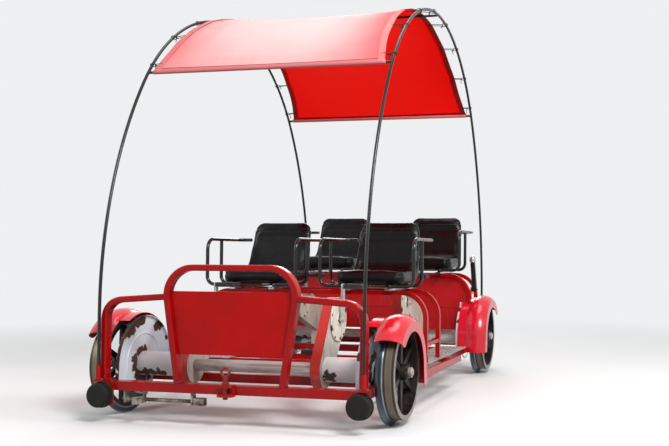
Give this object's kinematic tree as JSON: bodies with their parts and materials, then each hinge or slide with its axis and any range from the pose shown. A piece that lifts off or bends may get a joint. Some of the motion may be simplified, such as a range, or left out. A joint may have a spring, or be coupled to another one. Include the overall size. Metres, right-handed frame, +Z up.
{
  "type": "railway handcar",
  "caption": "Pedal-driven railway handcar with two rows of seats, spoked flanged wheels, crowned fenders, a tube end guard and an arched fabric canopy on bent hoops.",
  "frame": {"origin": "under the middle of the car, level with the wheel flanges' lowest points", "axes": "+Z up, -Y towards the end with the guard and panel, +X to the right seen from that end's front"},
  "size_m": [1.608, 2.702, 2.2101],
  "materials": {
    "red_paint": "worn red enamel",
    "fender_red": "glossy red enamel, chipped at the skirt",
    "white_paint": "white enamel with rust patches",
    "case_grey": "weathered grey-white paint",
    "strip_red": "faded red paint",
    "disc_cream": "cream paint, worn at the hub",
    "dark_steel": "dark worn steel",
    "rusty_steel": "rusty steel",
    "wheel_steel": "oxidised steel with a bright worn tread",
    "bright_steel": "bright turned steel",
    "crank_steel": "bright steel",
    "chrome_trim": "bright plating",
    "ribbed_aluminium": "ribbed aluminium sheet",
    "black_tube": "black paint",
    "pedal_black": "black moulded plastic",
    "buffer_rubber": "matt black rubber",
    "seat_skin": "black padded skin",
    "red_cloth": "red awning cloth, faded on top"
  },
  "bodies": {
    "chassis": {"base_frame": "red_paint", "bearing_blocks": "dark_steel", "buffer_pads": "buffer_rubber", "buffer_rings": "rusty_steel", "couplings": "red_paint", "coupling_pin": "dark_steel", "front_guard": "red_paint", "front_panel": "red_paint", "front_fenders": "fender_red", "rear_fenders": "fender_red", "wheel_guards": "white_paint", "axle_covers": "white_paint", "chain_cases": "case_grey", "case_strips": "strip_red", "crank_discs": "disc_cream", "seat_frame_front": "red_paint", "seat_frame_rear": "red_paint", "seat_tracks": "chrome_trim", "rear_wall": "red_paint", "step_plates": "ribbed_aluminium", "hoop_sockets": "red_paint", "canopy_hoops": "black_tube", "canopy_bars": "black_tube", "canopy_cloth": "red_cloth", "brake_bracket": "red_paint", "brake_rigging": "rusty_steel"},
    "front_wheelset": {"front_axle": "bright_steel", "front_wheels": "wheel_steel"},
    "rear_wheelset": {"rear_axle": "bright_steel", "rear_wheels": "wheel_steel"},
    "crankset_front_left": {"crank_front_left": "crank_steel", "pedals_front_left": "pedal_black"},
    "seat_front_left": {"seat_shell_front_left": "seat_skin", "seat_arms_front_left": "black_tube", "seat_runner_front_left": "dark_steel"},
    "crankset_front_right": {"crank_front_right": "crank_steel", "pedals_front_right": "pedal_black"},
    "seat_front_right": {"seat_shell_front_right": "seat_skin", "seat_arms_front_right": "black_tube", "seat_runner_front_right": "dark_steel"},
    "crankset_rear_left": {"crank_rear_left": "crank_steel", "pedals_rear_left": "pedal_black"},
    "seat_rear_left": {"seat_shell_rear_left": "seat_skin", "seat_arms_rear_left": "black_tube", "seat_runner_rear_left": "dark_steel"},
    "crankset_rear_right": {"crank_rear_right": "crank_steel", "pedals_rear_right": "pedal_black"},
    "seat_rear_right": {"seat_shell_rear_right": "seat_skin", "seat_arms_rear_right": "black_tube", "seat_runner_rear_right": "dark_steel"},
    "brake_handle": {"brake_lever": "dark_steel", "brake_grip": "chrome_trim"}
  },
  "joints": [
    {"name": "front_wheelset_roll", "type": "hinge", "parent": "chassis", "child": "front_wheelset", "pos_m": [0, -1, 0.25], "axis": [1, 0, 0], "continuous": true},
    {"name": "rear_wheelset_roll", "type": "hinge", "parent": "chassis", "child": "rear_wheelset", "pos_m": [0, 1, 0.25], "axis": [1, 0, 0], "continuous": true},
    {"name": "crank_front_left_turn", "type": "hinge", "parent": "chassis", "child": "crankset_front_left", "pos_m": [-0.345, -0.85, 0.48], "axis": [1, 0, 0], "continuous": true},
    {"name": "seat_front_left_slide", "type": "slide", "parent": "chassis", "child": "seat_front_left", "axis": [0, 1, 0], "range_m": [-0.08, 0.08]},
    {"name": "crank_front_right_turn", "type": "hinge", "parent": "chassis", "child": "crankset_front_right", "pos_m": [0.345, -0.85, 0.48], "axis": [1, 0, 0], "continuous": true},
    {"name": "seat_front_right_slide", "type": "slide", "parent": "chassis", "child": "seat_front_right", "axis": [0, 1, 0], "range_m": [-0.08, 0.08]},
    {"name": "crank_rear_left_turn", "type": "hinge", "parent": "chassis", "child": "crankset_rear_left", "pos_m": [-0.345, 0.37, 0.5], "axis": [1, 0, 0], "continuous": true},
    {"name": "seat_rear_left_slide", "type": "slide", "parent": "chassis", "child": "seat_rear_left", "axis": [0, 1, 0], "range_m": [-0.08, 0.08]},
    {"name": "crank_rear_right_turn", "type": "hinge", "parent": "chassis", "child": "crankset_rear_right", "pos_m": [0.345, 0.37, 0.5], "axis": [1, 0, 0], "continuous": true},
    {"name": "seat_rear_right_slide", "type": "slide", "parent": "chassis", "child": "seat_rear_right", "axis": [0, 1, 0], "range_m": [-0.08, 0.08]},
    {"name": "brake_pull", "type": "hinge", "parent": "chassis", "child": "brake_handle", "pos_m": [0.693, 0.9205, 0.565], "axis": [1, 0, 0], "range_deg": [-35, 5]}
  ]
}
